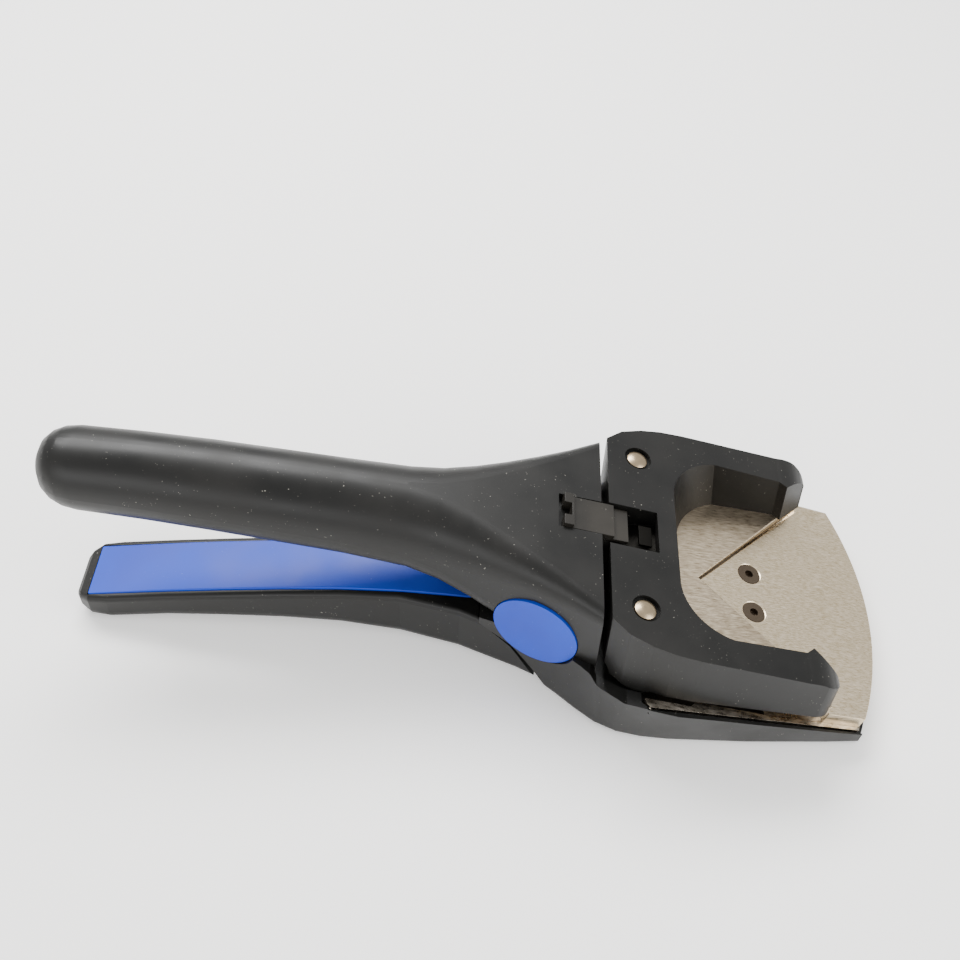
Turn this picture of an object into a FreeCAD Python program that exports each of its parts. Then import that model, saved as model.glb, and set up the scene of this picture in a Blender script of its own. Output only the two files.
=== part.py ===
"""Corner trimmer: squeeze pliers whose 90 degree notched blade shears past a pointed anvil plate.

Millimetres, +Z up, +X towards the jaws, Y = 0 on the mid-plane. The tool stands on the flat sole of
its lower jaw. The frame lever (round handle, jaw body, anvil) is fixed, and the blade lever (lower
grip, arm, guide block, blade) turns on the pivot pin.
"""
import FreeCAD, Part
import math
import os
from FreeCAD import Placement, Rotation, Vector

Y_AXIS = Vector(0, 1, 0)
X_AXIS = Vector(1, 0, 0)
PLANES = {"XY": "XY_Plane", "XZ": "XZ_Plane", "YZ": "YZ_Plane"}

# Driving sizes, in millimetres and degrees: alias, value.
SIZES = [
    # hinge
    ("pivot_x", 21.5), ("pivot_z", 30.0), ("pin_radius", 4.0), ("pin_half", 23.5),
    ("bush_wall", 2.0), ("running_gap", 0.05), ("washer_thick", 1.35), ("washer_radius", 9.0),
    ("cap_radius", 14.4), ("cap_thick", 2.4), ("cap_seat", 26.6), ("cap_tilt", 23.0),
    ("eye_radius", 12.5), ("pin_clear", 0.1),
    # anvil and its base
    ("apex_x", 76.2), ("apex_z", 24.65), ("plate_slope", 13.4), ("shoulder_reach", 40.0),
    ("shoulder_half", 43.8), ("corner_reach", 52.9), ("corner_half", 43.1), ("nose_radius", 110.0),
    ("anvil_thick", 5.0), ("base_thick", 2.6), ("base_half", 50.0), ("base_rear", -20.0),
    ("base_corner", 2.6), ("base_end_half", 44.3), ("prong_inner", 47.1), ("prong_step", -5.0),
    ("strip_inner", 45.1), ("chute_reach", 20.0), ("point_gap", 1.0),
    ("screw_reach", 18.4), ("screw_far", 6.8), ("screw_near", -9.1), ("m4_head", 4.1), ("m4_shank", 2.0),
    ("head_sink", 2.1), ("socket_size", 1.45), ("base_screw_x", 114.0), ("base_screw_half", 24.0),
    ("neck_screw_x", 32.0), ("neck_screw_half", 22.5), ("screw_sink", 5.0), ("screw_head", 3.6),
    # jaw body
    ("split_z", 25.5), ("jaw_front", 40.2), ("rim_gap", 1.0), ("arm_slot_half", 9.45),
    ("slot_floor", 7.0), ("ear_half", 15.9), ("ear_radius", 13.5), ("chute_half", 39.0),
    ("recess_floor", 20.4), ("ledge_floor", 14.4), ("jaw_nose_x", 136.5), ("jaw_nose_half", 44.8),
    ("jaw_nose_radius", 118.0), ("jaw_nose_sag", 8.83), ("sole_round", 3.0), ("sole_skin", 0.6), ("cavity_half", 16.25), ("cavity_top", 44.2),
    # grip
    ("inlay_half", 10.6), ("inlay_gap", 0.25), ("inlay_rear", -131.0), ("inlay_front", 0.2),
    ("inlay_mid", -51.0), ("inlay_rear_z", 11.0), ("inlay_mid_z", 21.7), ("inlay_front_z", 21.3),
    ("inlay_thick", 2.4), ("inlay_proud", 0.3), ("inlay_rear_bow", 900.0), ("inlay_front_bow", 250.0),
    ("grip_screw_rear", -78.0), ("grip_screw_front", -30.0),
    # arm
    ("arm_half", 8.0), ("arm_gap", 0.1), ("spring_heel", 43.0), ("spring_leaf", 0.8), ("spring_half", 6.0),
    # guide block and blade
    ("block_rear", 42.7), ("block_top_slope", 14.0), ("block_tip_x", 115.2),
    ("skirt_rear", 24.6), ("skirt_tip", 17.0), 
    ("inner_x", 64.2), ("inner_half", 37.6), ("inner_round", 20.0),
    ("window_half", 8.3), ("window_end", 58.8), ("window_floor", 41.4), ("pocket_low", 29.3),
    ("blade_slope", 8.0), ("blade_thick", 5.0), ("blade_rise", 1.15), ("blade_rear", -24.0),
    ("blade_half", 42.4), ("blade_tip_half", 44.5), ("blade_tip_reach", 39.2),
    ("notch_gap", 0.75), ("tip_gap", 0.25), ("blade_gap", 0.1),
    ("stud_x", 53.4), ("stud_half", 31.0), ("stud_head", 3.5), ("stud_shank", 2.5), ("stud_recess", 4.7),
    ("recess_deep", 1.6), ("stud_head_thick", 1.7), 
    # latch
    ("latch_x", 27.7), ("latch_z", 55.1), ("latch_slope", 13.4), ("latch_half", 6.5),
    ("latch_offset", 1.3), ("latch_thick", 2.4), ("latch_length", 17.0), ("tongue_length", 22.2),
    ("tongue_thick", 1.0), ("flange_half", 7.5), ("flange_thick", 1.1), ("flange_length", 5.4),
    ("latch_gap", 0.08), ("latch_notch_half", 2.5), ("latch_notch", 2.5), ("latch_lip", 1.5),
    ("catch_reach", 26.4), ("catch_thick", 1.1), ("catch_gap", 0.25), ("catch_half", 3.9),
]


class Size:
    """A number together with the spreadsheet expression that it comes from."""

    def __init__(self, value, text):
        self.value = float(value)
        self.text = text

    def _join(self, other, sign, value):
        other = wrap(other)
        return Size(value, "(%s %s %s)" % (self.text, sign, other.text))

    def __add__(self, other):
        return self._join(other, "+", self.value + wrap(other).value)

    def __radd__(self, other):
        return wrap(other) + self

    def __sub__(self, other):
        return self._join(other, "-", self.value - wrap(other).value)

    def __rsub__(self, other):
        return wrap(other) - self

    def __mul__(self, other):
        return self._join(other, "*", self.value * wrap(other).value)

    def __rmul__(self, other):
        return wrap(other) * self

    def __truediv__(self, other):
        return self._join(other, "/", self.value / wrap(other).value)

    def __neg__(self):
        return Size(-self.value, "(0 - %s)" % self.text)


def wrap(number):
    """A plain number as a Size."""
    return number if isinstance(number, Size) else Size(number, repr(float(number)))


def tan(angle):
    return Size(math.tan(math.radians(angle.value)), "tan(%s * 1 deg)" % angle.text)


def cos(angle):
    return Size(math.cos(math.radians(angle.value)), "cos(%s * 1 deg)" % angle.text)


def sin(angle):
    return Size(math.sin(math.radians(angle.value)), "sin(%s * 1 deg)" % angle.text)


doc = FreeCAD.newDocument("corner_trimmer")
sheet = doc.addObject("Spreadsheet::Sheet", "sizes")
for row, (alias, value) in enumerate(SIZES, start=1):
    sheet.set("A%d" % row, alias)
    sheet.set("B%d" % row, repr(value))
    sheet.setAlias("B%d" % row, alias)
doc.recompute()
D = {alias: Size(value, "sizes.%s" % alias) for alias, value in SIZES}


def bind(thing, path, size):
    """Ties one property to the sheet."""
    thing.setExpression(path, wrap(size).text)


def place(thing, x=None, y=None, z=None, axis=None, angle=None, path="Placement"):
    """Ties a placement's position, and its turn about one axis, to the sheet."""
    if axis is not None:
        old = getattr(thing, path)
        setattr(thing, path, Placement(old.Base, Rotation(axis, wrap(angle).value)))
        bind(thing, path + ".Rotation.Angle", angle)
    for letter, size in (("x", x), ("y", y), ("z", z)):
        if size is not None:
            bind(thing, "%s.Base.%s" % (path, letter), size)


def body(name):
    new = doc.addObject("PartDesign::Body", name)
    new.Label = name
    return new


def plane_of(owner, plane):
    for feature in owner.Origin.OriginFeatures:
        if feature.Role == PLANES[plane]:
            return feature
    raise ValueError(plane)


def new_sketch(owner, plane, offset=None, tilt=None, origin=None):
    """A sketch on an origin plane, moved along its normal, or tilted about Y at an origin (x, z)."""
    sketch = owner.newObject("Sketcher::SketchObject", owner.Name + "_sketch")
    sketch.AttachmentSupport = (plane_of(owner, plane), [""])
    sketch.MapMode = "FlatFace"
    if tilt is not None:
        place(sketch, x=origin[0], z=origin[1], axis=Y_AXIS, angle=tilt, path="AttachmentOffset")
    if offset is not None:
        bind(sketch, "AttachmentOffset.Base.z", offset)
    return sketch


def pin_point(sketch, geometry, end, x, y):
    """Fixes a point of a sketch at (x, y)."""
    for kind, size in (("DistanceX", x), ("DistanceY", y)):
        index = sketch.addConstraint(sketcher_constraint(kind, geometry, end, size.value))
        sketch.setExpression("Constraints[%d]" % index, size.text)


def sketcher_constraint(*words):
    import Sketcher
    return Sketcher.Constraint(*words)


def outline(sketch, points):
    """A closed outline. Each point is (x, y), or (x, y, radius) where an arc of that radius leads to it:
    a positive radius bulges to the left of the way from the last point, a negative one to the right."""
    points = [tuple(wrap(number) for number in point) for point in points]
    first = sketch.GeometryCount
    count = len(points)
    for index in range(count):
        start = points[index]
        end = points[(index + 1) % count]
        a = Vector(start[0].value, start[1].value, 0)
        b = Vector(end[0].value, end[1].value, 0)
        if len(end) == 3:
            sketch.addGeometry(arc_between(a, b, end[2].value))
        else:
            sketch.addGeometry(Part.LineSegment(a, b))
    for index in range(count):
        end = points[(index + 1) % count]
        here = first + index
        after = first + (index + 1) % count
        tail = 2 if len(end) == 2 or end[2].value < 0 else 1
        beyond = points[(index + 2) % count]
        head = 1 if len(beyond) == 2 or beyond[2].value < 0 else 2
        sketch.addConstraint(sketcher_constraint("Coincident", here, tail, after, head))
        pin_point(sketch, here, tail, end[0], end[1])
        if len(end) == 3:
            radius = end[2] if end[2].value > 0 else -end[2]
            number = sketch.addConstraint(sketcher_constraint("Radius", here, radius.value))
            sketch.setExpression("Constraints[%d]" % number, radius.text)


def arc_between(a, b, radius):
    """The short arc from a to b: clockwise, bulging left, for a positive radius."""
    chord = b - a
    half = chord.Length / 2
    left = Vector(-chord.y, chord.x, 0).normalize()
    sagitta = abs(radius) - math.sqrt(radius * radius - half * half)
    middle = (a + b) / 2 + left * math.copysign(sagitta, radius)
    arc = Part.Arc(a, middle, b)
    return arc


def circle(sketch, x, y, radius):
    x, y, radius = wrap(x), wrap(y), wrap(radius)
    index = sketch.addGeometry(Part.Circle(Vector(x.value, y.value, 0), Vector(0, 0, 1), radius.value))
    number = sketch.addConstraint(sketcher_constraint("Radius", index, radius.value))
    sketch.setExpression("Constraints[%d]" % number, radius.text)
    pin_point(sketch, index, 3, x, y)


def pad(owner, sketch, length, both=False, reverse=False, pocket=False, taper=None):
    """A pad or pocket, one way or symmetric about the sketch."""
    kind = "PartDesign::Pocket" if pocket else "PartDesign::Pad"
    feature = owner.newObject(kind, owner.Name + ("_pocket" if pocket else "_pad"))
    feature.Profile = sketch
    bind(feature, "Length", length)
    feature.Midplane = both
    feature.Reversed = reverse
    if taper is not None:
        bind(feature, "TaperAngle", taper)
    doc.recompute()
    return feature


def cut(owner, sketch, length=400.0, both=True, reverse=False, taper=None):
    return pad(owner, sketch, length, both, reverse, True, taper)


def rounded_section(owner, x, half, low, high, low_round, high_round):
    """A rectangle with rounded corners, across the tool at x."""
    sketch = new_sketch(owner, "YZ", offset=x)
    half, low, high, lr, hr = (wrap(size) for size in (half, low, high, low_round, high_round))
    outline(sketch, [
        (half - lr, low), (half, low + lr, -lr), (half, high - hr), (half - hr, high, -hr),
        (-half + hr, high), (-half, high - hr, -hr), (-half, low + lr), (-half + lr, low, -lr),
    ])
    return sketch


def loft(owner, sketches, subtract=False, ruled=False):
    kind = "PartDesign::SubtractiveLoft" if subtract else "PartDesign::AdditiveLoft"
    feature = owner.newObject(kind, owner.Name + "_loft")
    feature.Profile = sketches[0]
    feature.Sections = sketches[1:]
    feature.Ruled = ruled
    doc.recompute()
    return feature


def mirrored(points):
    """A run of (x, y) points for y > 0, closed by its own mirror image in y."""
    pairs = [tuple(wrap(number) for number in point) for point in points]
    radii = [point[2:] for point in pairs[1:]] + [()]
    return pairs + [(point[0], -point[1]) + radius for point, radius in reversed(list(zip(pairs, radii)))]


def plane_sketch(owner, slope, x, z, depth=0.0):
    """A sketch in a plane that falls towards +X from (x, z), a depth below that plane."""
    depth = wrap(depth)
    return new_sketch(owner, "XY", tilt=slope, origin=(x - depth * sin(slope), z - depth * cos(slope)))


def plate_sketch(owner, depth=0.0):
    return plane_sketch(owner, D["plate_slope"], D["apex_x"], D["apex_z"], depth)


def blade_sketch(owner, depth=0.0):
    return plane_sketch(owner, D["blade_slope"], D["apex_x"], D["apex_z"] + D["blade_rise"], depth)


def latch_sketch(owner, depth=0.0):
    return plane_sketch(owner, D["latch_slope"], D["latch_x"], D["latch_z"], depth)


def side_cut(owner, points, width):
    """Cuts a side-view outline through the width of the tool."""
    sketch = new_sketch(owner, "XZ")
    outline(sketch, points)
    return cut(owner, sketch, width)


def side_pad(owner, points, width):
    sketch = new_sketch(owner, "XZ")
    outline(sketch, points)
    return pad(owner, sketch, width, both=True)


def side_bore(owner, x, z, radius, width):
    sketch = new_sketch(owner, "XZ")
    circle(sketch, x, z, radius)
    return cut(owner, sketch, width)


def cap_seat(owner, side, radius):
    """A sketch on the slanted seat of a pivot cap; side is -1 for near, +1 for far."""
    sketch = new_sketch(owner, "XZ")
    place(sketch, x=D["pivot_x"], y=D["pivot_z"], z=D["cap_seat"] * (-side), axis=Y_AXIS,
          angle=D["cap_tilt"] * side, path="AttachmentOffset")
    circle(sketch, 0, 0, radius)
    return sketch


# ---------------------------------------------------------------- frame: handle
top_handle = body("top_handle")
# x, half width, low, high, lower corner radius, upper corner radius
HANDLE = [
    (-124.0, 13.3, 51.0, 77.6, 13.2, 13.2),
    (-103.5, 13.8, 48.4, 76.0, 13.7, 13.7),
    (-83.0, 14.3, 45.2, 73.8, 14.2, 14.2),
    (-62.5, 14.7, 41.6, 71.0, 14.6, 14.6),
    (-42.0, 15.1, 38.0, 68.2, 15.0, 15.0),
    (-21.5, 15.9, 34.0, 65.2, 14.6, 15.4),
    (-11.0, 17.6, 31.4, 63.1, 13.4, 15.0),
    (-1.0, 20.3, 28.2, 61.1, 11.5, 13.6),
    (9.0, 23.5, 25.0, 59.0, 8.6, 11.4),
    (19.5, 27.4, 22.0, 56.8, 6.4, 9.0),
    (30.0, 32.0, 19.4, 54.5, 5.2, 6.8),
    (40.2, 37.4, 17.0, 52.3, 4.5, 5.0),
]
loft(top_handle, [rounded_section(top_handle, *row) for row in HANDLE], ruled=True)
HANDLE_END = [
    (-124.0, 13.3, 51.0, 77.6, 13.2, 13.2),
    (-128.4, 12.6, 52.1, 77.3, 12.5, 12.5),
    (-131.8, 11.0, 54.0, 76.0, 10.9, 10.9),
    (-134.4, 8.6, 56.6, 73.8, 8.5, 8.5),
    (-136.0, 5.4, 59.9, 70.7, 5.3, 5.3),
    (-136.5, 2.6, 62.7, 67.9, 2.5, 2.5),
]
loft(top_handle, [rounded_section(top_handle, *row) for row in HANDLE_END], ruled=True)
side_cut(top_handle, [(-8, 0), (60, 0), (60, D["split_z"]), (-8, D["split_z"])], 200)
side_cut(top_handle, [(6.5, 20), (46, 20), (46, D["cavity_top"]), (14.5, D["cavity_top"]), (6.5, 34)],
         D["cavity_half"] * 2)
side_bore(top_handle, D["pivot_x"], D["pivot_z"], D["pin_radius"] + D["pin_clear"], D["pin_half"] * 2 + 0.2)
for side in (-1, 1):
    cut(top_handle, cap_seat(top_handle, side, D["cap_radius"] + 0.3), 60, both=False, reverse=side < 0)
sketch = latch_sketch(top_handle, D["latch_thick"] + D["latch_gap"])
outline(sketch, [(-1.5, D["latch_offset"] - D["latch_half"] - 0.2), (30, D["latch_offset"] - D["latch_half"] - 0.2),
                 (30, D["latch_offset"] + D["latch_half"] + 0.2),
                 (-1.5, D["latch_offset"] + D["latch_half"] + 0.2)])
cut(top_handle, sketch, 30, both=False, reverse=True)
sketch = latch_sketch(top_handle, D["latch_thick"] + D["latch_gap"])
outline(sketch, [(-0.3, D["latch_offset"] - D["flange_half"] - 0.1), (30, D["latch_offset"] - D["flange_half"] - 0.1),
                 (30, D["latch_offset"] + D["flange_half"] + 0.1),
                 (-0.3, D["latch_offset"] + D["flange_half"] + 0.1)])
cut(top_handle, sketch, D["flange_thick"] + D["latch_gap"] * 2, both=False, reverse=True)
sketch = new_sketch(top_handle, "XY", offset=D["split_z"])
for side in (-1, 1):
    circle(sketch, D["neck_screw_x"], D["neck_screw_half"] * side, D["m4_shank"] + D["pin_clear"])
cut(top_handle, sketch, 12.0, both=False, reverse=True)

# ---------------------------------------------------------------- frame: jaw body
jaw_body = body("jaw_body")


def trough_section(owner, x, foot, rim, high):
    """A flat-bottomed section whose sides lean from the foot width to the rim width."""
    sketch = new_sketch(owner, "YZ", offset=x)
    foot, rim, high, turn = wrap(foot), wrap(rim), wrap(high), D["sole_round"]
    outline(sketch, [
        (foot - turn, -D["sole_skin"]), (foot, turn, -D["sole_round"] - 1.0), (rim, high), (-rim, high), (-foot, turn),
        (-foot + turn, -D["sole_skin"], -D["sole_round"] - 1.0),
    ])
    return sketch


# x, half width at the sole, half width at the top
JAW = [
    (2.8, 17.6, 21.8), (13.0, 22.4, 24.8), (22.0, 27.9, 28.6), (29.0, 33.2, 32.4), (35.5, 38.6, 37.4),
    (42.0, 43.4, 43.8), (49.0, 46.4, 49.2), (57.0, 47.8, 52.4), (66.0, 48.2, 53.3), (91.0, 47.6, 51.4),
    (117.0, 46.0, 49.6), (142.0, 43.9, 47.8),
]
loft(jaw_body, [trough_section(jaw_body, x, foot, rim, 30.0) for x, foot, rim in JAW], ruled=True)
rim_drop = (D["anvil_thick"]) / cos(D["plate_slope"])


def rim_z(x):
    """Height of the top of the base plate at x."""
    return D["apex_z"] - (wrap(x) - D["apex_x"]) * tan(D["plate_slope"]) - rim_drop


side_cut(jaw_body, [(-8, D["split_z"]), (38.4, D["split_z"]), (40.6, 22.8), (50, 22.8), (56, rim_z(56)),
                    (145, rim_z(145)), (145, 60), (-8, 60)], 200)
side_pad(jaw_body, [(9.5, 16), (33.5, 16), (33.5, 30), (9.5, 30)], D["ear_half"] * 2)
sketch = new_sketch(jaw_body, "XZ")
circle(sketch, D["pivot_x"], D["pivot_z"], D["ear_radius"])
pad(jaw_body, sketch, D["ear_half"] * 2, both=True)
side_cut(jaw_body, [(-8, -5), (31.5, -5), (24.3, 3.2), (14.4, 13.9), (5.3, 19.5), (2.7, 21.5), (2.7, 60),
                    (-8, 60)], 200)
side_cut(jaw_body, [(-8, 0), (-8, -8), (160, -8), (160, 0)], 200)
# nose
sketch = new_sketch(jaw_body, "XY", offset=-5)
nose = D["jaw_nose_half"]
corner = D["jaw_nose_x"] - D["jaw_nose_sag"]
outline(sketch, [(corner, -nose), (corner, nose, -D["jaw_nose_radius"]), (corner - 4, 60), (160, 60),
                 (160, -60), (corner - 4, -60)])
cut(jaw_body, sketch, 60, both=False, reverse=True)
# arm slot, block recess, blade ledge, chute
side_cut(jaw_body, [(-8, D["slot_floor"]), (46, D["slot_floor"]), (46, 70), (-8, 70)], D["arm_slot_half"] * 2)
sketch = new_sketch(jaw_body, "XY", offset=D["recess_floor"])
outline(sketch, mirrored([(72, 46.9), (65, 46.9), (60, 46.2), (55, 45.2), (48, 42.6), (D["jaw_front"], 38.5)]))
cut(jaw_body, sketch, 60, both=False, reverse=True)
sketch = new_sketch(jaw_body, "XY", offset=D["ledge_floor"])
chute_front = D["apex_x"] + D["chute_reach"] * cos(D["plate_slope"])
outline(sketch, mirrored([(chute_front, D["strip_inner"]), (60, D["strip_inner"])]))
cut(jaw_body, sketch, 60, both=False, reverse=True)
sketch = new_sketch(jaw_body, "XY", offset=-5)
outline(sketch, mirrored([(chute_front, D["chute_half"]), (53, D["chute_half"]), (49, 35.0)]))
cut(jaw_body, sketch, 60, both=False, reverse=True)


def base_outline(grow):
    """The base plate's outer edge, moved outwards by grow, from the nose to the rear of the prongs."""
    end = D["base_end_half"] + grow
    half = D["base_half"] + grow
    turn = D["base_corner"]
    return [(D["corner_reach"], end), (D["base_rear"] - grow + turn, half)]


# bed for the base plate
sketch = plate_sketch(jaw_body, D["anvil_thick"] + D["base_thick"])
gap = D["rim_gap"]
outline(sketch, mirrored([(80, D["base_end_half"] + gap - 2.0), (D["corner_reach"], D["base_end_half"] + gap),
                          (D["base_rear"] - gap + 2.5, D["base_half"] + gap),
                          (D["base_rear"] - gap, D["base_half"] - 1.5)]))
cut(jaw_body, sketch, 40, both=False, reverse=True)
side_bore(jaw_body, D["pivot_x"], D["pivot_z"], D["pin_radius"] + D["pin_clear"], 100)
for side in (-1, 1):
    cut(jaw_body, cap_seat(jaw_body, side, D["cap_radius"] + 0.3), 60, both=False, reverse=side < 0)
# screw holes from the sole
for x, half in ((D["base_screw_x"], D["base_screw_half"]), (D["neck_screw_x"], D["neck_screw_half"])):
    sketch = new_sketch(jaw_body, "XY", offset=-1)
    for side in (-1, 1):
        circle(sketch, x, half * side, D["screw_head"] + 0.2)
    cut(jaw_body, sketch, D["screw_sink"] + 1, both=False, reverse=True)
    sketch = new_sketch(jaw_body, "XY", offset=-1)
    for side in (-1, 1):
        circle(sketch, x, half * side, D["m4_shank"] + D["pin_clear"])
    cut(jaw_body, sketch, 40, both=False, reverse=True)

# ---------------------------------------------------------------- frame: plates
base_plate = body("base_plate")
sketch = plate_sketch(base_plate, D["anvil_thick"])
point = D["point_gap"]
front = D["chute_reach"]
outline(sketch, [
    (D["corner_reach"], -D["base_end_half"]), (D["corner_reach"], D["base_end_half"], -D["nose_radius"]),
    (D["base_rear"] + D["base_corner"], D["base_half"]),
    (D["base_rear"], D["base_half"] - D["base_corner"], -D["base_corner"]),
    (D["base_rear"], D["prong_inner"]), (D["prong_step"], D["prong_inner"]),
    (D["prong_step"] + 2, D["strip_inner"]), (front, D["strip_inner"]), (front, front - point),
    (point, 0), (front, point - front), (front, -D["strip_inner"]),
    (D["prong_step"] + 2, -D["strip_inner"]), (D["prong_step"], -D["prong_inner"]),
    (D["base_rear"], -D["prong_inner"]), (D["base_rear"], D["base_corner"] - D["base_half"]),
    (D["base_rear"] + D["base_corner"], -D["base_half"], -D["base_corner"]),
])
pad(base_plate, sketch, D["base_thick"], reverse=True)

anvil_plate = body("anvil_plate")
sketch = plate_sketch(anvil_plate)
outline(sketch, [
    (0, 0), (D["shoulder_reach"], -D["shoulder_reach"]), (D["shoulder_reach"], -D["shoulder_half"]),
    (D["corner_reach"], -D["corner_half"]), (D["corner_reach"], D["corner_half"], -D["nose_radius"]),
    (D["shoulder_reach"], D["shoulder_half"]), (D["shoulder_reach"], D["shoulder_reach"]),
])
pad(anvil_plate, sketch, D["anvil_thick"], reverse=True)
for owner, grow in ((anvil_plate, D["pin_clear"]), (base_plate, D["pin_clear"])):
    sketch = plate_sketch(owner)
    for half in (D["screw_far"], D["screw_near"]):
        circle(sketch, D["screw_reach"], half, D["m4_shank"] + grow)
    cut(owner, sketch, 20, both=False)
sketch = plate_sketch(anvil_plate)
for half in (D["screw_far"], D["screw_near"]):
    circle(sketch, D["screw_reach"], half, D["m4_head"] + D["pin_clear"])
cut(anvil_plate, sketch, D["head_sink"], both=False, taper=-45.0)




def turned(name, profile, at, axis=None, angle=0.0):
    """A body of revolution about its own Z from (radius, height) points, placed at (x, y, z)."""
    shape = body(name)
    sketch = new_sketch(shape, "XZ")
    outline(sketch, profile)
    feature = shape.newObject("PartDesign::Revolution", name + "_turn")
    feature.Profile = sketch
    feature.ReferenceAxis = (sketch, ["V_Axis"])
    feature.Angle = 360.0
    place(shape, x=at[0], y=at[1], z=at[2], axis=axis, angle=angle)
    doc.recompute()
    return shape


def grouped(name, pieces):
    """One node from several identical pieces."""
    group = doc.addObject("Part::Compound", name)
    group.Label = name
    group.Links = pieces
    return group


def plate_point(reach, depth):
    """World x and z of a point of the anvil plane, a depth below it."""
    slope = D["plate_slope"]
    return (D["apex_x"] + reach * cos(slope) - depth * sin(slope),
            D["apex_z"] - reach * sin(slope) - depth * cos(slope))


# ---------------------------------------------------------------- frame: fixings
gap = D["running_gap"]
screws = []
for number, half in enumerate((D["screw_far"], D["screw_near"])):
    x, z = plate_point(D["screw_reach"], wrap(0.05))
    screw = turned("anvil_screw_%d" % number, [
        (0, -9.0), (D["m4_shank"], -9.0), (D["m4_shank"], -D["head_sink"]), (D["m4_head"] - 0.2, -0.15),
        (D["m4_head"] - 0.2, 0), (D["socket_size"], 0), (D["socket_size"], -1.6), (0, -1.6),
    ], (x, half, z), Y_AXIS, D["plate_slope"])
    screws.append(screw)
anvil_screws = grouped("anvil_screws", screws)


def sole_screws(name, x, half, length):
    pieces = []
    for number, side in enumerate((-1, 1)):
        pieces.append(turned("%s_%d" % (name[:-1], number), [
            (D["socket_size"], -3.4), (D["screw_head"], -3.4), (D["screw_head"], 0), (D["m4_shank"], 0),
            (D["m4_shank"], length), (0, length), (0, -1.8), (D["socket_size"], -1.8),
        ], (x, half * side, D["screw_sink"]), Y_AXIS, 0.0))
    return grouped(name, pieces)


base_screws = sole_screws("base_screws", D["base_screw_x"], D["base_screw_half"],
                          plate_point(wrap(38.5), D["anvil_thick"] + D["base_thick"])[1] - D["screw_sink"] - 1.3)
neck_screws = sole_screws("neck_screws", D["neck_screw_x"], D["neck_screw_half"], wrap(30.0))

pivot_pin = body("pivot_pin")
sketch = new_sketch(pivot_pin, "XZ")
circle(sketch, D["pivot_x"], D["pivot_z"], D["pin_radius"])
pad(pivot_pin, sketch, D["pin_half"] * 2, both=True)

for name, side in (("near_pivot_cap", -1), ("far_pivot_cap", 1)):
    cap = body(name)
    pad(cap, cap_seat(cap, side, D["cap_radius"]), D["cap_thick"], reverse=side > 0)

washers = []
for number, side in enumerate((-1, 1)):
    washer = body("thrust_washer_%d" % number)
    sketch = new_sketch(washer, "XZ", offset=-side * (D["arm_half"] + gap + (0 if side < 0 else D["washer_thick"])))
    circle(sketch, D["pivot_x"], D["pivot_z"], D["washer_radius"])
    circle(sketch, D["pivot_x"], D["pivot_z"], D["pin_radius"] + gap)
    pad(washer, sketch, D["washer_thick"])
    washers.append(washer)
thrust_washers = grouped("thrust_washers", washers)

return_spring = body("return_spring")
floor = D["slot_floor"] + gap
leaf = D["spring_leaf"]
heel = D["spring_heel"]
side_pad(return_spring, [
    (heel - 13, floor), (heel, floor), (heel + 1.2, floor + 2.6, 1.9), (heel - 8.0, floor + 21.2),
    (heel - 8.7, floor + 20.8), (heel + 0.4, floor + 2.2), (heel - 0.2, floor + leaf, -1.2), (heel - 13, floor + leaf),
], D["spring_half"] * 2)

# ---------------------------------------------------------------- blade lever: arm and grip
blade_arm = body("blade_arm")
side_pad(blade_arm, [(-96, 8), (-20, 9.6), (0, 10.4), (11, 18.0), (33, 28.8), (42, 29.4), (60, 29.4), (60, 41.2), (14, 41.2),
                     (9.4, 27), (2.2, 18.6), (-20, 17.2), (-96, 12.6)], D["arm_half"] * 2)
sketch = new_sketch(blade_arm, "XZ")
circle(sketch, D["pivot_x"], D["pivot_z"], D["eye_radius"])
pad(blade_arm, sketch, D["arm_half"] * 2, both=True)
side_bore(blade_arm, D["pivot_x"], D["pivot_z"], D["pin_radius"] + D["bush_wall"] + 0.02, 60)
sketch = new_sketch(blade_arm, "XY", offset=0)
for x in (D["grip_screw_rear"], D["grip_screw_front"]):
    circle(sketch, x, 0, D["m4_shank"] + D["pin_clear"])
cut(blade_arm, sketch, 16.5 - 2.0, both=False, reverse=True)

pivot_bush = body("pivot_bush")
sketch = new_sketch(pivot_bush, "XZ")
circle(sketch, D["pivot_x"], D["pivot_z"], D["pin_radius"] + D["bush_wall"])
circle(sketch, D["pivot_x"], D["pivot_z"], D["pin_radius"] + gap)
pad(pivot_bush, sketch, D["arm_half"] * 2, both=True)

grip_shell = body("grip_shell")
# x, half width, low, high, lower corner radius, upper corner radius
GRIP = [
    (-124.0, 13.0, 0.0, 12.2, 4.5, 2.0),
    (-104.0, 13.0, 2.6, 15.2, 5.0, 2.0),
    (-84.0, 13.0, 3.9, 17.8, 5.0, 2.0),
    (-64.0, 13.0, 4.6, 20.2, 5.0, 2.0),
    (-44.0, 13.0, 4.0, 22.0, 5.0, 2.0),
    (-24.0, 13.2, 1.0, 22.6, 5.0, 2.0),
    (-4.0, 16.8, 0.0, 21.6, 4.0, 2.0),
    (16.0, 24.4, 0.2, 20.4, 3.5, 2.0),
    (36.0, 34.0, 0.4, 19.4, 3.5, 2.0),
]
loft(grip_shell, [rounded_section(grip_shell, *row) for row in GRIP], ruled=True)
TOE = [
    (-124.0, 13.0, 0.0, 12.2, 4.5, 2.0),
    (-130.5, 12.4, 0.6, 11.3, 4.2, 2.0),
    (-134.0, 10.2, 2.2, 9.8, 3.4, 1.8),
    (-135.3, 8.2, 3.8, 8.6, 2.0, 1.4),
]
loft(grip_shell, [rounded_section(grip_shell, *row) for row in TOE], ruled=True)
side_cut(grip_shell, [(2.4, 60), (2.4, 21.1), (5.0, 19.0), (13.5, 13.0), (22.0, 1.5), (23.2, -5), (80, -5),
                      (80, 60)], 200)


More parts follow.
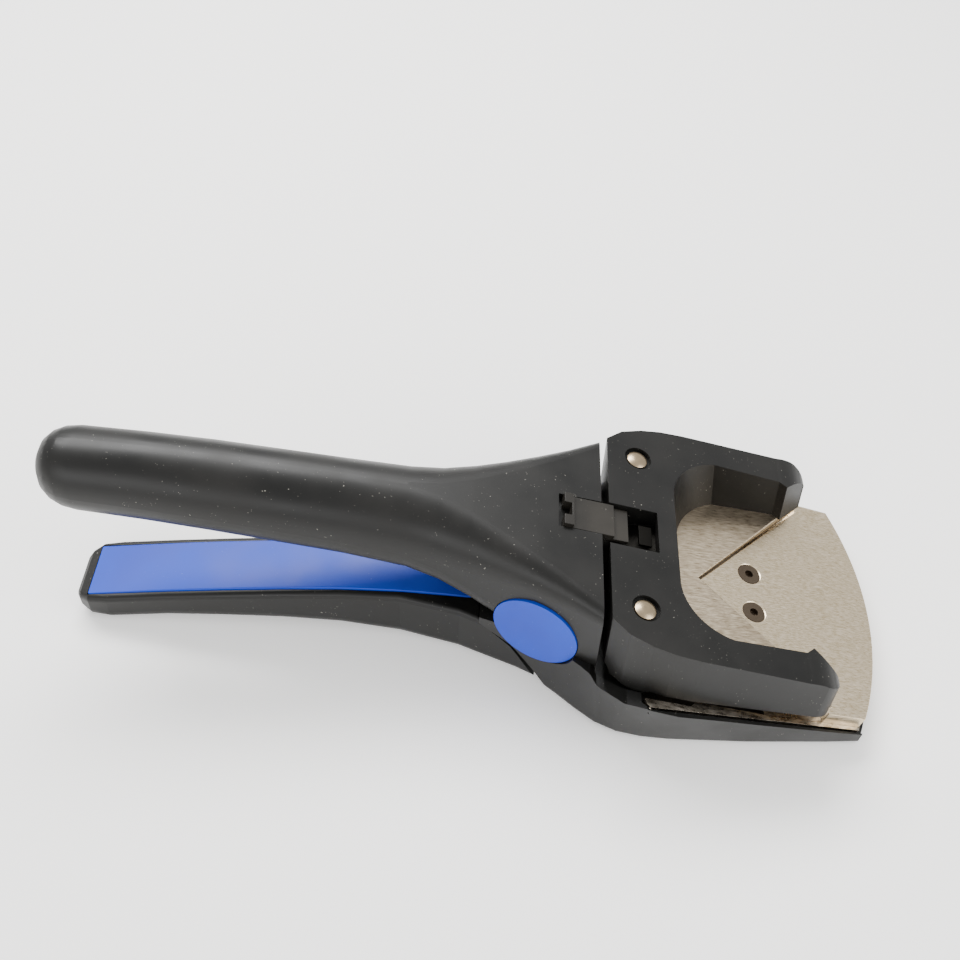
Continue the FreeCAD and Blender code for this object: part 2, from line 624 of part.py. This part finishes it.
def inlay_curve(lift):
    """The long curved top of the inlay from front to rear, lifted by some amount."""
    return [
        (D["inlay_front"], D["inlay_front_z"] + lift), (D["inlay_mid"], D["inlay_mid_z"] + lift, -D["inlay_front_bow"]),
        (D["inlay_rear"], D["inlay_rear_z"] + lift, -D["inlay_rear_bow"]),
    ]


low = inlay_curve(-D["inlay_thick"])
side_cut(grip_shell, low + [(D["inlay_rear"], 60), (D["inlay_front"], 60)], D["inlay_half"] * 2)
side_cut(grip_shell, [(-96.2, 7.9), (-20, 9.5), (0, 10.3), (11, 17.9), (30, 27), (30, 60), (-20, 60), (-96.2, 60)],
         D["arm_half"] * 2 + D["arm_gap"] * 2)
sketch = new_sketch(grip_shell, "XY", offset=-1)
for x in (D["grip_screw_rear"], D["grip_screw_front"]):
    circle(sketch, x, 0, D["m4_shank"] + D["pin_clear"])
cut(grip_shell, sketch, 30, both=False, reverse=True)
sketch = new_sketch(grip_shell, "XY", offset=-1)
for x in (D["grip_screw_rear"], D["grip_screw_front"]):
    circle(sketch, x, 0, D["screw_head"] + 0.2)
cut(grip_shell, sketch, 6.9, both=False, reverse=True)

pieces = []
for number, x in enumerate((D["grip_screw_rear"], D["grip_screw_front"])):
    pieces.append(turned("grip_screw_%d" % number, [
        (D["socket_size"], -2.0), (D["screw_head"], -2.0), (D["screw_head"], -0.05), (D["m4_shank"], -0.05),
        (D["m4_shank"], 6.0), (0, 6.0), (0, -1.0), (D["socket_size"], -1.0),
    ], (x, 0, wrap(5.9)), Y_AXIS, 0.0))
grip_screws = grouped("grip_screws", pieces)

grip_inlay = body("grip_inlay")
ends = D["inlay_gap"]
low = [
    (D["inlay_front"] - ends, D["inlay_front_z"] - D["inlay_thick"] + 0.08),
    (D["inlay_mid"], D["inlay_mid_z"] - D["inlay_thick"] + 0.08, -D["inlay_front_bow"]),
    (D["inlay_rear"] + ends, D["inlay_rear_z"] - D["inlay_thick"] + 0.08, -D["inlay_rear_bow"]),
    (D["inlay_rear"] + ends, D["inlay_rear_z"] + D["inlay_proud"]),
    (D["inlay_mid"], D["inlay_mid_z"] + D["inlay_proud"], D["inlay_rear_bow"]),
    (D["inlay_front"] - ends, D["inlay_front_z"] + D["inlay_proud"], D["inlay_front_bow"]),
]
side_pad(grip_inlay, low, (D["inlay_half"] - ends) * 2)

# ---------------------------------------------------------------- blade lever: guide block and blade
guide_block = body("guide_block")
sketch = new_sketch(guide_block, "XY", offset=10)
outline(sketch, mirrored([
    (D["block_tip_x"] - 0.2, 42.0), (110.0, 46.5, -5.6), (70, 46.5), (62, 46.0), (55, 44.6), (48, 41.9),
    (D["block_rear"], 37.2),
]))
pad(guide_block, sketch, 50)
side_cut(guide_block, [(30, 55.08), (104.5, 36.5), (112.6, 33.2, 14.0), (115.3, 28.6, 6.0), (130, 28), (130, 90),
                       (30, 90)], 200)
side_cut(guide_block, [(30, 28.0), (D["block_rear"], 28.0), (44.5, 24.2, 6.0), (50, 23.0, 9.0), (54, 23.0),
                       (57, D["skirt_rear"]), (D["block_tip_x"] + 10, D["skirt_tip"] - 1.3), (130, 0), (30, 0)], 200)


def throat_section(z, inset):
    """The U-shaped throat at a height, narrower by inset than it is at the top."""
    sketch = new_sketch(guide_block, "XY", offset=z)
    half = D["inner_half"] - inset
    outline(sketch, mirrored([
        (140.0, 60.0 - inset), (114.4, 42.8 - inset), (107.0, 35.6 - inset), (104.5, half),
        (80 + inset * 0.6, half), (D["inner_x"] + inset * 1.2, 18.0 - inset * 0.5, -D["inner_round"]),
    ]))
    return sketch


loft(guide_block, [throat_section(wrap(54.0), wrap(-0.5)), throat_section(wrap(14.0), wrap(6.0))],
     subtract=True, ruled=True)
# seat for the blade, pocket for the arm, window for the latch
seat = D["blade_gap"]
tip = D["blade_tip_reach"]
sketch = blade_sketch(guide_block)
outline(sketch, mirrored([(tip + 20, D["blade_tip_half"] + seat), (tip, D["blade_tip_half"] + seat),
                          (D["blade_rear"] - seat, D["blade_half"] + seat)]))
cut(guide_block, sketch, 30, both=False)
side_cut(guide_block, [(30, D["pocket_low"]), (60.2, D["pocket_low"]), (60.2, D["window_floor"]),
                       (30, D["window_floor"])], D["arm_half"] * 2 + D["arm_gap"] * 2)
sketch = new_sketch(guide_block, "XY", offset=D["window_floor"])
wide = D["window_half"]
outline(sketch, [(30, -wide), (D["window_end"], -wide), (D["window_end"], wide), (30, wide)])
cut(guide_block, sketch, 40, both=False, reverse=True)
for radius, depth in ((D["stud_recess"], D["recess_deep"]), (D["stud_shank"] + D["pin_clear"], wrap(60))):
    sketch = plane_sketch(guide_block, D["block_top_slope"], D["stud_x"], wrap(49.2))
    for side in (-1, 1):
        circle(sketch, 0, D["stud_half"] * side, radius)
    cut(guide_block, sketch, depth, both=False)
    sketch = plane_sketch(guide_block, D["block_top_slope"], D["stud_x"], wrap(49.2))
    for side in (-1, 1):
        circle(sketch, 0, D["stud_half"] * side, radius)
    cut(guide_block, sketch, 10, both=False, reverse=True)

v_blade = body("v_blade")
sketch = blade_sketch(v_blade)
notch = cos(D["blade_slope"]) / cos(D["plate_slope"])
outline(sketch, [
    (tip, -D["blade_tip_half"]), (tip, -(tip * notch + D["tip_gap"])), (-D["notch_gap"], 0),
    (tip, tip * notch + D["tip_gap"]), (tip, D["blade_tip_half"]), (D["blade_rear"] + 6, D["blade_half"] - 1.2),
    (D["blade_rear"], D["blade_half"] - 8), (D["blade_rear"], 8 - D["blade_half"]),
    (D["blade_rear"] + 6, 1.2 - D["blade_half"]),
])
pad(v_blade, sketch, D["blade_thick"], reverse=True)
sketch = plane_sketch(v_blade, D["block_top_slope"], D["stud_x"], wrap(49.2))
for side in (-1, 1):
    circle(sketch, 0, D["stud_half"] * side, D["stud_shank"] + D["pin_clear"])
cut(v_blade, sketch, 60, both=False)

slope = D["block_top_slope"]
pins = []
for number, side in enumerate((-1, 1)):
    pins.append(turned("block_pin_%d" % number, [
        (0, -21.0), (D["stud_shank"], -21.0), (D["stud_shank"], 0.05), (D["stud_head"], 0.05),
        (D["stud_head"], D["stud_head_thick"] - 0.8), (0.8, D["stud_head_thick"], -6.0), (0, D["stud_head_thick"]),
    ], (D["stud_x"] - D["recess_deep"] * sin(slope), D["stud_half"] * side,
        wrap(49.2) - D["recess_deep"] * cos(slope)), Y_AXIS, slope))
block_pins = grouped("block_pins", pins)

# ---------------------------------------------------------------- latch
latch_slide = body("latch_slide")
centre = D["latch_offset"]


def latch_block(owner, near, far, half, top, thick):
    """A slab in the latch plane from near to far along the slide."""
    sketch = latch_sketch(owner, top)
    outline(sketch, [(near, centre - half), (far, centre - half), (far, centre + half), (near, centre + half)])
    return pad(owner, sketch, thick, reverse=True)


latch_block(latch_slide, wrap(0), D["latch_length"], D["latch_half"], wrap(0), D["latch_thick"])
latch_block(latch_slide, D["latch_length"], D["tongue_length"], D["latch_half"], D["latch_thick"] - D["tongue_thick"],
            D["tongue_thick"])
latch_block(latch_slide, wrap(0.2), D["flange_length"], D["flange_half"], D["latch_thick"] - D["flange_thick"],
            D["flange_thick"])
latch_block(latch_slide, wrap(0), wrap(3.2), D["latch_half"], -D["latch_lip"], D["latch_lip"])
sketch = latch_sketch(latch_slide, -D["latch_lip"])
outline(sketch, [(-2, centre - D["latch_notch_half"]), (D["latch_notch"], centre - D["latch_notch_half"]),
                 (D["latch_notch"], centre + D["latch_notch_half"]), (-2, centre + D["latch_notch_half"])])
cut(latch_slide, sketch, 6, both=False)

latch_catch = body("latch_catch")
sketch = latch_sketch(latch_catch, D["latch_thick"] + D["catch_gap"])
reach = (D["window_end"] - D["latch_x"]) / cos(D["latch_slope"]) - 1.2
half = D["catch_half"]
outline(sketch, [(D["catch_reach"], -half), (reach, -half), (reach, half), (D["catch_reach"], half)])
pad(latch_catch, sketch, D["catch_thick"], reverse=True)

# ---------------------------------------------------------------- hand over
NODES = [
    "top_handle", "jaw_body", "base_plate", "anvil_plate", "anvil_screws", "base_screws", "neck_screws",
    "pivot_pin", "near_pivot_cap", "far_pivot_cap", "thrust_washers", "return_spring", "blade_arm",
    "pivot_bush", "grip_shell", "grip_screws", "grip_inlay", "guide_block", "v_blade", "block_pins",
    "latch_catch", "latch_slide",
]
doc.recompute()
for thing in doc.Objects:
    if "Invalid" in thing.State or "Error" in thing.State:
        raise RuntimeError("%s did not build: %s" % (thing.Name, thing.State))
os.makedirs("parts", exist_ok=True)
for name in NODES:
    shape = doc.getObject(name).Shape
    if shape.isNull() or not shape.isValid() or shape.Volume <= 0:
        raise RuntimeError("%s is not a valid solid" % name)
    shape.exportStep("parts/%s.step" % name)
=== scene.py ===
"""Studio view of a squeeze-handled corner trimmer.

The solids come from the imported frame. This script gives them their finishes, softens their moulded and
ground edges, and sets up the studio.
"""
from __future__ import annotations

import logging
import math
from dataclasses import dataclass
from typing import Iterable, Optional, Sequence

import bpy
from mathutils import Matrix, Vector


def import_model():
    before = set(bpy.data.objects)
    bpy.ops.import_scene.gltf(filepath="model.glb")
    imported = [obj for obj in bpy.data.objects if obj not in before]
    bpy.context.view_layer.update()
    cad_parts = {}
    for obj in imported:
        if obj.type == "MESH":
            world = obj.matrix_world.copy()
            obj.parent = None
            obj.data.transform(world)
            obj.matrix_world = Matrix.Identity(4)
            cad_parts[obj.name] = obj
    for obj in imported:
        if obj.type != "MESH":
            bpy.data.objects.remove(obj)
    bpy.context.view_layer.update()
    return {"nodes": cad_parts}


LOG = logging.getLogger("corner_trimmer")
MM = 0.001
WELD_MM = 0.001
FLAT_FACE_WEIGHT = 60

# Inputs and output of the colour mixing node, whose sockets share their names.
MIX_FACTOR, MIX_FIRST, MIX_SECOND, MIX_RESULT = 0, 6, 7, 2


def linear(hex_colour: str) -> tuple[float, float, float, float]:
    """Turns an sRGB hex colour into linear light.

    Args:
        hex_colour: six hex digits after a hash.

    Returns:
        Red, green, blue and alpha for a shader socket.
    """
    channels = (int(hex_colour[start:start + 2], 16) / 255 for start in (1, 3, 5))
    values = [value / 12.92 if value <= 0.04045 else ((value + 0.055) / 1.055) ** 2.4
              for value in channels]
    return (values[0], values[1], values[2], 1.0)


class Shader:
    """A node material under construction."""

    def __init__(self, name: str) -> None:
        """Starts an empty material.

        Args:
            name: the material's name.
        """
        self.material = bpy.data.materials.new(name)
        self.material.use_nodes = True
        self.tree = self.material.node_tree
        self.surface = self.tree.nodes["Principled BSDF"]

    def add(self, kind: str, settings: Optional[dict[str, object]] = None,
            **inputs: object) -> bpy.types.Node:
        """Adds one node and fills in its inputs.

        Args:
            kind: the node's type name.
            settings: properties of the node itself.
            **inputs: values or output sockets, by input name with underscores for spaces.

        Returns:
            The new node.
        """
        node = self.tree.nodes.new(kind)
        for key, value in (settings or {}).items():
            setattr(node, key, value)
        self.feed(node, **inputs)
        return node

    def feed(self, node: bpy.types.Node, **inputs: object) -> None:
        """Sets or links a node's inputs.

        Args:
            node: the node to feed.
            **inputs: values or output sockets, by input name with underscores for spaces.
        """
        for key, value in inputs.items():
            socket = node.inputs[key.replace("_", " ")]
            if isinstance(value, bpy.types.NodeSocket):
                self.tree.links.new(value, socket)
            else:
                socket.default_value = value

    def grain(self, scale: Sequence[float], detail: float = 3.0,
              roughness: float = 0.5) -> bpy.types.NodeSocket:
        """Noise in object space, stretched along an axis by an uneven scale.

        Args:
            scale: repeats per metre along x, y and z.
            detail: octaves of the noise.
            roughness: how strongly the finer octaves count.

        Returns:
            The noise factor.
        """
        place = self.add("ShaderNodeTexCoord")
        spread = self.add("ShaderNodeMapping", Vector=place.outputs["Object"], Scale=tuple(scale))
        noise = self.add("ShaderNodeTexNoise", Vector=spread.outputs["Vector"], Scale=1.0, Detail=detail,
                         Roughness=roughness)
        return noise.outputs["Fac"]

    def span(self, factor: bpy.types.NodeSocket, low: float, high: float, start: float = 0.3,
             end: float = 0.7) -> bpy.types.NodeSocket:
        """Maps part of a factor's range onto low to high.

        Args:
            factor: the input factor.
            low: result at start.
            high: result at end.
            start: factor that gives low.
            end: factor that gives high.

        Returns:
            The mapped value.
        """
        node = self.add("ShaderNodeMapRange", Value=factor, From_Min=start, From_Max=end, To_Min=low,
                        To_Max=high)
        return node.outputs["Result"]

    def blend(self, factor: bpy.types.NodeSocket, first: object, second: object) -> bpy.types.NodeSocket:
        """Mixes two colours by a factor.

        Args:
            factor: 0 for the first colour, 1 for the second.
            first: colour or socket.
            second: colour or socket.

        Returns:
            The mixed colour.
        """
        node = self.add("ShaderNodeMix", {"data_type": "RGBA"})
        self.tree.links.new(factor, node.inputs[MIX_FACTOR])
        for index, value in ((MIX_FIRST, first), (MIX_SECOND, second)):
            if isinstance(value, bpy.types.NodeSocket):
                self.tree.links.new(value, node.inputs[index])
            else:
                node.inputs[index].default_value = value
        return node.outputs[MIX_RESULT]

    def bump(self, height: bpy.types.NodeSocket, depth_mm: float, strength: float = 1.0) -> None:
        """Presses a relief into the surface.

        Args:
            height: the relief, 0 to 1.
            depth_mm: its full depth in millimetres.
            strength: how strongly it shows.
        """
        node = self.add("ShaderNodeBump", Height=height, Distance=depth_mm * MM, Strength=strength)
        self.feed(self.surface, Normal=node.outputs["Normal"])


@dataclass(frozen=True)
class Plastic:
    """Moulded plastic: fine spark texture, handling sheen and a little pale dust."""

    name: str
    colour: str
    worn: str
    roughness: float
    dust: str
    dust_share: float
    wear_scale: float = 55
    speck_scale: float = 1500
    clump_scale: float = 140
    spark_scale: float = 2600
    spark_depth_mm: float = 0.02
    sheen: float = 0.3

    def build(self) -> bpy.types.Material:
        """Builds the material.

        Returns:
            The finished material.
        """
        shader = Shader(self.name)
        wear = shader.grain([self.wear_scale] * 3, 4.0)
        worn_share = shader.span(wear, 0.0, 1.0, 0.35, 0.75)
        colour = shader.blend(worn_share, linear(self.colour), linear(self.worn))
        specks = shader.grain([self.speck_scale] * 3, 1.0, 0.4)
        clumps = shader.grain([self.clump_scale] * 3, 2.0)
        rare = shader.add("ShaderNodeMath", {"operation": "MULTIPLY"})
        shader.tree.links.new(shader.span(specks, 0.0, 1.0, 0.735, 0.79), rare.inputs[0])
        shader.tree.links.new(shader.span(clumps, 0.0, self.dust_share, 0.45, 0.7), rare.inputs[1])
        colour = shader.blend(rare.outputs[0], colour, linear(self.dust))
        smooth = shader.span(wear, self.roughness - 0.05, self.roughness + 0.07)
        shader.feed(shader.surface, Base_Color=colour, Roughness=smooth, Specular_IOR_Level=self.sheen)
        shader.bump(shader.grain([self.spark_scale] * 3, 2.0), self.spark_depth_mm, 0.35)
        return shader.material


@dataclass(frozen=True)
class Steel:
    """Ground or scuffed steel with lines along the tool and darker blotches of handling."""

    name: str
    bright: str
    dark: str
    roughness: float
    lines: tuple[float, float, float]
    scuff: float
    blotch_scale: tuple[float, float, float] = (70, 110, 70)
    line_depth_mm: float = 0.012

    def build(self) -> bpy.types.Material:
        """Builds the material.

        Returns:
            The finished material.
        """
        shader = Shader(self.name)
        brushed = shader.grain(self.lines, 5.0, 0.65)
        blotch = shader.grain(self.blotch_scale, 4.0, 0.6)
        line_share = shader.span(brushed, 0.0, 1.0, 0.35, 0.65)
        colour = shader.blend(line_share, linear(self.dark), linear(self.bright))
        stained = shader.blend(shader.span(blotch, 0.0, self.scuff, 0.45, 0.75), colour, linear(self.dark))
        rough = shader.span(brushed, self.roughness - 0.08, self.roughness + 0.08)
        shader.feed(shader.surface, Base_Color=stained, Metallic=1.0, Roughness=rough)
        shader.bump(brushed, self.line_depth_mm, 0.5)
        return shader.material


@dataclass(frozen=True)
class Plain:
    """An even finish for small or stage pieces."""

    name: str
    colour: str
    roughness: float
    metallic: float = 0.0
    fleck_scale: float = 900

    def build(self) -> bpy.types.Material:
        """Builds the material.

        Returns:
            The finished material.
        """
        shader = Shader(self.name)
        fleck = shader.grain([self.fleck_scale] * 3, 2.0)
        rough = shader.span(fleck, self.roughness - 0.03, self.roughness + 0.03)
        shader.feed(shader.surface, Base_Color=linear(self.colour), Metallic=self.metallic,
                    Roughness=rough)
        return shader.material


# Body mouldings: black plastic, spark-textured in the mould. Satin, with a soft sheen and pale dust.
BLACK = Plastic("black_plastic", "#0f0f0e", "#171614", 0.40, "#b9b5aa", 0.6)
# The sliding lock: a slightly greyer moulding, a little duller where the thumb rubs it.
GREY = Plastic("grey_plastic", "#1d1b18", "#2b2823", 0.42, "#b9b5aa", 0.4)
# Blue inlay and caps: through-coloured plastic, even and satin.
BLUE = Plastic("blue_plastic", "#1038ae", "#1641ba", 0.42, "#9fb4e6", 0.25)
# Anvil: surface ground along the tool's length, warm under room light.
GROUND = Steel("ground_steel", "#efdfc6", "#ccb995", 0.30, (45, 2400, 2400), 0.15)
# Blade: the same grinding, darker and more blotched than the anvil.
BLADE = Steel("blade_steel", "#cdbfa8", "#a08f77", 0.34, (60, 2400, 2400), 0.3)
# Base plate and loose steel parts: rolled plate, scuffed, with dark patches between bright lines.
SCUFFED = Steel("scuffed_steel", "#d9d0c2", "#8c8272", 0.30, (160, 900, 900), 0.6)
# Domed pins: nickel plate, warm and softly mirrored.
NICKEL = Plain("nickel", "#a8977d", 0.32, 1.0)
# Socket screws: black oxide worn to a brownish grey.
OXIDE = Plain("oxide_steel", "#5c5145", 0.42, 1.0)
# The arm inside the head and the catch: blackened steel, nearly black and dull.
BLACKENED = Plain("blackened_steel", "#1d1c1a", 0.5, 1.0)
# The arm's bush: turned brass, hidden inside the head.
BRASS = Plain("bush_brass", "#b08d4a", 0.35, 1.0)
# The studio floor: matt white paper.
PAPER = Plain("studio_floor", "#fbfaf8", 0.8)


@dataclass(frozen=True)
class Finish:
    """How the nodes of one kind are dressed."""

    look: Plastic | Steel | Plain
    nodes: tuple[str, ...]
    edge_mm: float
    edge_steps: int = 3
    crease_deg: float = 32.0


FINISHES = (
    Finish(BLACK, ("top_handle", "jaw_body", "grip_shell", "guide_block"), 0.55),
    Finish(GREY, ("latch_slide",), 0.3),
    Finish(BLUE, ("grip_inlay", "near_pivot_cap", "far_pivot_cap"), 0.6),
    Finish(GROUND, ("anvil_plate",), 0.25),
    Finish(BLADE, ("v_blade",), 0.45),
    Finish(SCUFFED, ("base_plate", "pivot_pin", "thrust_washers", "return_spring"), 0.2),
    Finish(BLACKENED, ("blade_arm", "latch_catch"), 0.2),
    Finish(NICKEL, ("block_pins",), 0.2),
    Finish(OXIDE, ("anvil_screws", "base_screws", "neck_screws", "grip_screws"), 0.12),
    Finish(BRASS, ("pivot_bush",), 0.1),
)


class Trimmer:
    """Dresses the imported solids."""

    def __init__(self, nodes: dict[str, bpy.types.Object]) -> None:
        """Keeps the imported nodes.

        Args:
            nodes: the CAD objects by name.
        """
        self.nodes = nodes

    def dress(self, finishes: Iterable[Finish]) -> None:
        """Gives every node its material, smooth normals and softened edges.

        Args:
            finishes: the finishes to apply.
        """
        for finish in finishes:
            material = finish.look.build()
            for name in finish.nodes:
                self._dress_one(self.nodes[name], material, finish)
                LOG.info("%s dressed in %s", name, finish.look.name)

    @staticmethod
    def _dress_one(piece: bpy.types.Object, material: bpy.types.Material, finish: Finish) -> None:
        """Dresses one node.

        Args:
            piece: the CAD object.
            material: its material.
            finish: the finish it belongs to.
        """
        piece.data.materials.clear()
        piece.data.materials.append(material)
        seams = piece.modifiers.new("closed_seams", "WELD")
        seams.merge_threshold = WELD_MM * MM
        edges = piece.modifiers.new("soft_edges", "BEVEL")
        edges.width = finish.edge_mm * MM
        edges.segments = finish.edge_steps
        edges.limit_method = "ANGLE"
        edges.angle_limit = math.radians(finish.crease_deg)
        edges.harden_normals = True
        edges.use_clamp_overlap = True
        shading = piece.modifiers.new("even_shading", "WEIGHTED_NORMAL")
        shading.keep_sharp = True
        shading.weight = FLAT_FACE_WEIGHT


@dataclass(frozen=True)
class Lamp:
    """One soft box."""

    name: str
    at: tuple[float, float, float]
    aim: tuple[float, float, float]
    size: tuple[float, float]
    power: float
    colour: str = "#ffffff"

    def build(self) -> bpy.types.Object:
        """Adds the lamp to the scene.

        Returns:
            The lamp.
        """
        data = bpy.data.lights.new(self.name, "AREA")
        data.shape = "RECTANGLE"
        data.size, data.size_y = self.size
        data.energy = self.power
        data.color = linear(self.colour)[:3]
        lamp = bpy.data.objects.new(self.name, data)
        lamp.location = self.at
        lamp.rotation_euler = (Vector(self.aim) - Vector(self.at)).to_track_quat("-Z", "Y").to_euler()
        bpy.context.scene.collection.objects.link(lamp)
        return lamp


LAMPS = (
    Lamp("key_box", (-0.25, 0.55, 0.85), (0.0, 0.0, 0.03), (0.9, 0.4), 20.0),
    Lamp("side_box", (0.75, -0.25, 0.55), (0.03, 0.0, 0.02), (0.5, 0.6), 5.0),
    Lamp("front_box", (-0.35, -0.8, 0.45), (0.0, 0.0, 0.03), (0.8, 0.4), 4.0),
)


@dataclass(frozen=True)
class Studio:
    """Floor, light and camera."""

    floor_reach: float = 3.0
    floor_drop: float = 0.0003
    floor_glow: float = 0.35
    room_light: float = 0.9
    lens_mm: float = 44.2
    sensor_mm: float = 36.0
    camera_at: tuple[float, float, float] = (0.0043, -0.2422, 0.340)
    camera_right: tuple[float, float, float] = (0.99846, 0.04712, 0.02912)
    camera_up: tuple[float, float, float] = (-0.05453, 0.74466, 0.66522)

    def floor(self) -> None:
        """Lays a pale floor just under the tool."""
        mesh = bpy.data.meshes.new("studio_floor")
        reach = self.floor_reach
        corners = [(-reach, -reach, 0), (reach, -reach, 0), (reach, reach, 0), (-reach, reach, 0)]
        mesh.from_pydata(corners, [], [(0, 1, 2, 3)])
        mesh.materials.append(self.paper())
        sheet = bpy.data.objects.new("studio_floor", mesh)
        sheet.location.z = -self.floor_drop
        bpy.context.scene.collection.objects.link(sheet)

    def paper(self) -> bpy.types.Material:
        """Faintly glowing white paper, which keeps its edges from going grey.

        Returns:
            The floor's material.
        """
        material = PAPER.build()
        surface = material.node_tree.nodes["Principled BSDF"]
        surface.inputs["Emission Color"].default_value = linear("#ffffff")
        surface.inputs["Emission Strength"].default_value = self.floor_glow
        return material

    def light(self) -> None:
        """Hangs the soft boxes in a pale room."""
        world = bpy.data.worlds.new("room")
        world.use_nodes = True
        background = world.node_tree.nodes["Background"]
        background.inputs["Color"].default_value = linear("#ffffff")
        background.inputs["Strength"].default_value = self.room_light
        bpy.context.scene.world = world
        for lamp in LAMPS:
            lamp.build()

    def camera(self) -> None:
        """Sets the camera above the near side of the tool."""
        data = bpy.data.cameras.new("camera")
        data.lens = self.lens_mm
        data.sensor_width = self.sensor_mm
        data.dof.use_dof = False
        camera = bpy.data.objects.new("camera", data)
        right = Vector(self.camera_right)
        up = Vector(self.camera_up)
        turn = Matrix((right, up, right.cross(up))).transposed()
        camera.matrix_world = Matrix.Translation(self.camera_at) @ turn.to_4x4()
        bpy.context.scene.collection.objects.link(camera)
        bpy.context.scene.camera = camera


def main() -> None:
    """Builds the scene."""
    logging.basicConfig(level=logging.INFO)
    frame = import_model()
    Trimmer(frame["nodes"]).dress(FINISHES)
    studio = Studio()
    studio.floor()
    studio.light()
    studio.camera()


if __name__ == "__main__":
    main()
